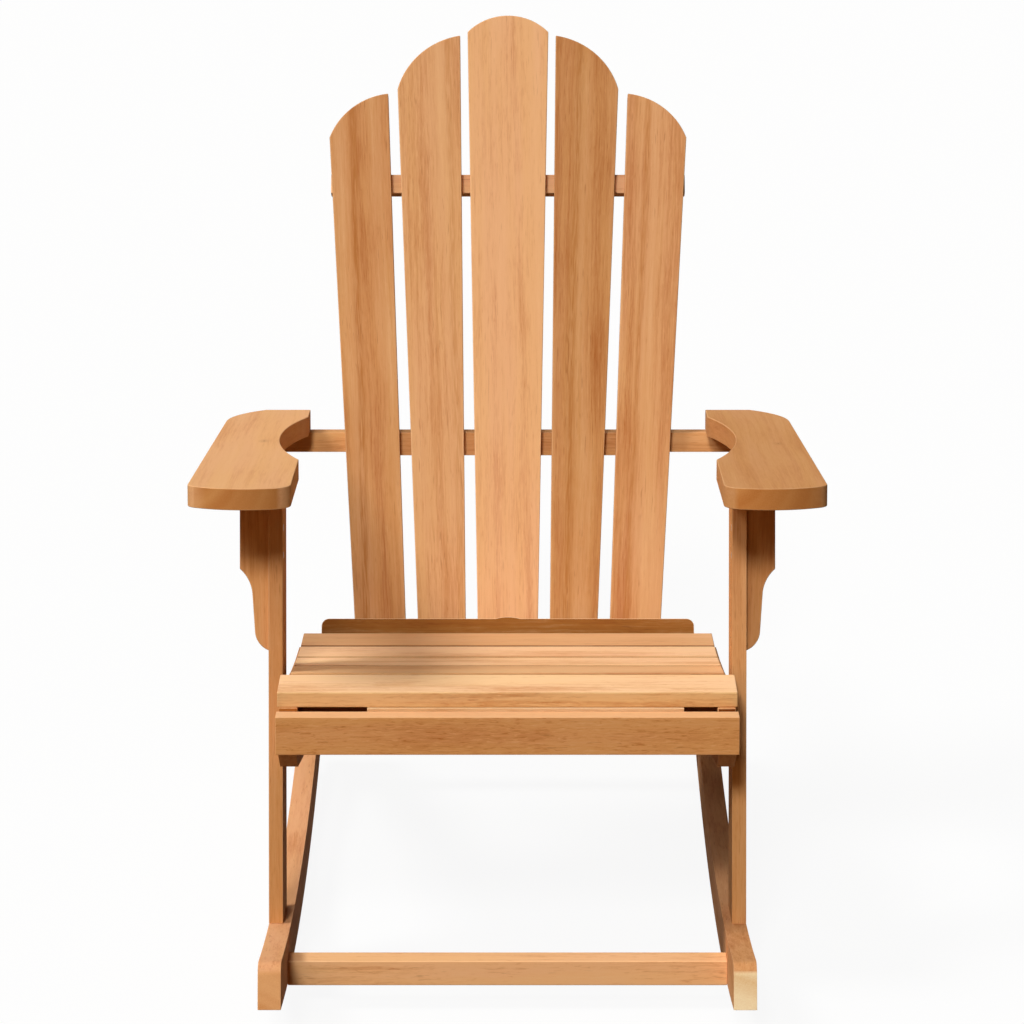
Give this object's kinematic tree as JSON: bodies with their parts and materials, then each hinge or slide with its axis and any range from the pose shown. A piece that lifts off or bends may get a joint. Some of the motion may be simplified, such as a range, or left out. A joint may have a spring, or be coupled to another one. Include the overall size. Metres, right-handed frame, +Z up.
{
  "type": "rocking chair",
  "caption": "Slatted wooden rocking garden chair with a fanned arched back, broad flat arms on leaning front legs, a curved slatted seat and two bow-shaped rockers.",
  "frame": {"origin": "on the floor, under the middle of the chair's bounding box, with the chair standing in the tilt in which it balances on its rockers", "axes": "+X to the right as seen from the front, +Y from the front to the back of the chair, +Z up"},
  "size_m": [0.6994, 1.0002, 0.9828],
  "materials": {
    "frame_wood": "satin oiled softwood",
    "arm_wood": "satin oiled softwood",
    "seat_slat_wood": "satin oiled softwood",
    "back_slat_wood": "satin oiled softwood",
    "dowel_wood": "plain beech",
    "screw_steel": "zinc plated, yellow passivated",
    "bolt_steel": "zinc plated"
  },
  "bodies": {
    "root": {"apron": "frame_wood", "apron_dowels": "dowel_wood", "arm_dowels": "dowel_wood", "arm_end_screws": "screw_steel", "arm_rail": "frame_wood", "arm_rail_screws": "screw_steel", "bracket_screws": "screw_steel", "cleat_screws": "screw_steel", "foot_dowels": "dowel_wood", "frame_bolts": "bolt_steel", "front_cleat": "frame_wood", "front_stretcher": "frame_wood", "left_arm": "arm_wood", "left_arm_bracket": "arm_wood", "left_front_leg": "frame_wood", "left_inner_back_slat": "back_slat_wood", "left_outer_back_slat": "back_slat_wood", "left_rocker": "frame_wood", "left_side_rail": "frame_wood", "lower_back_rail": "frame_wood", "lower_rail_dowels": "dowel_wood", "middle_back_slat": "back_slat_wood", "rear_stretcher": "frame_wood", "rear_stretcher_dowels": "dowel_wood", "right_arm": "arm_wood", "right_arm_bracket": "arm_wood", "right_front_leg": "frame_wood", "right_inner_back_slat": "back_slat_wood", "right_outer_back_slat": "back_slat_wood", "right_rocker": "frame_wood", "right_side_rail": "frame_wood", "seat_dowels": "dowel_wood", "seat_rail": "frame_wood", "seat_rail_dowels": "dowel_wood", "seat_slat_1": "seat_slat_wood", "seat_slat_2": "seat_slat_wood", "seat_slat_3": "seat_slat_wood", "seat_slat_4": "seat_slat_wood", "seat_slat_5": "seat_slat_wood", "slat_foot_screws": "screw_steel", "sleeve_nuts": "bolt_steel", "stretcher_screws": "screw_steel", "upper_back_rail": "frame_wood", "upper_rail_screws": "screw_steel"}
  },
  "joints": []
}
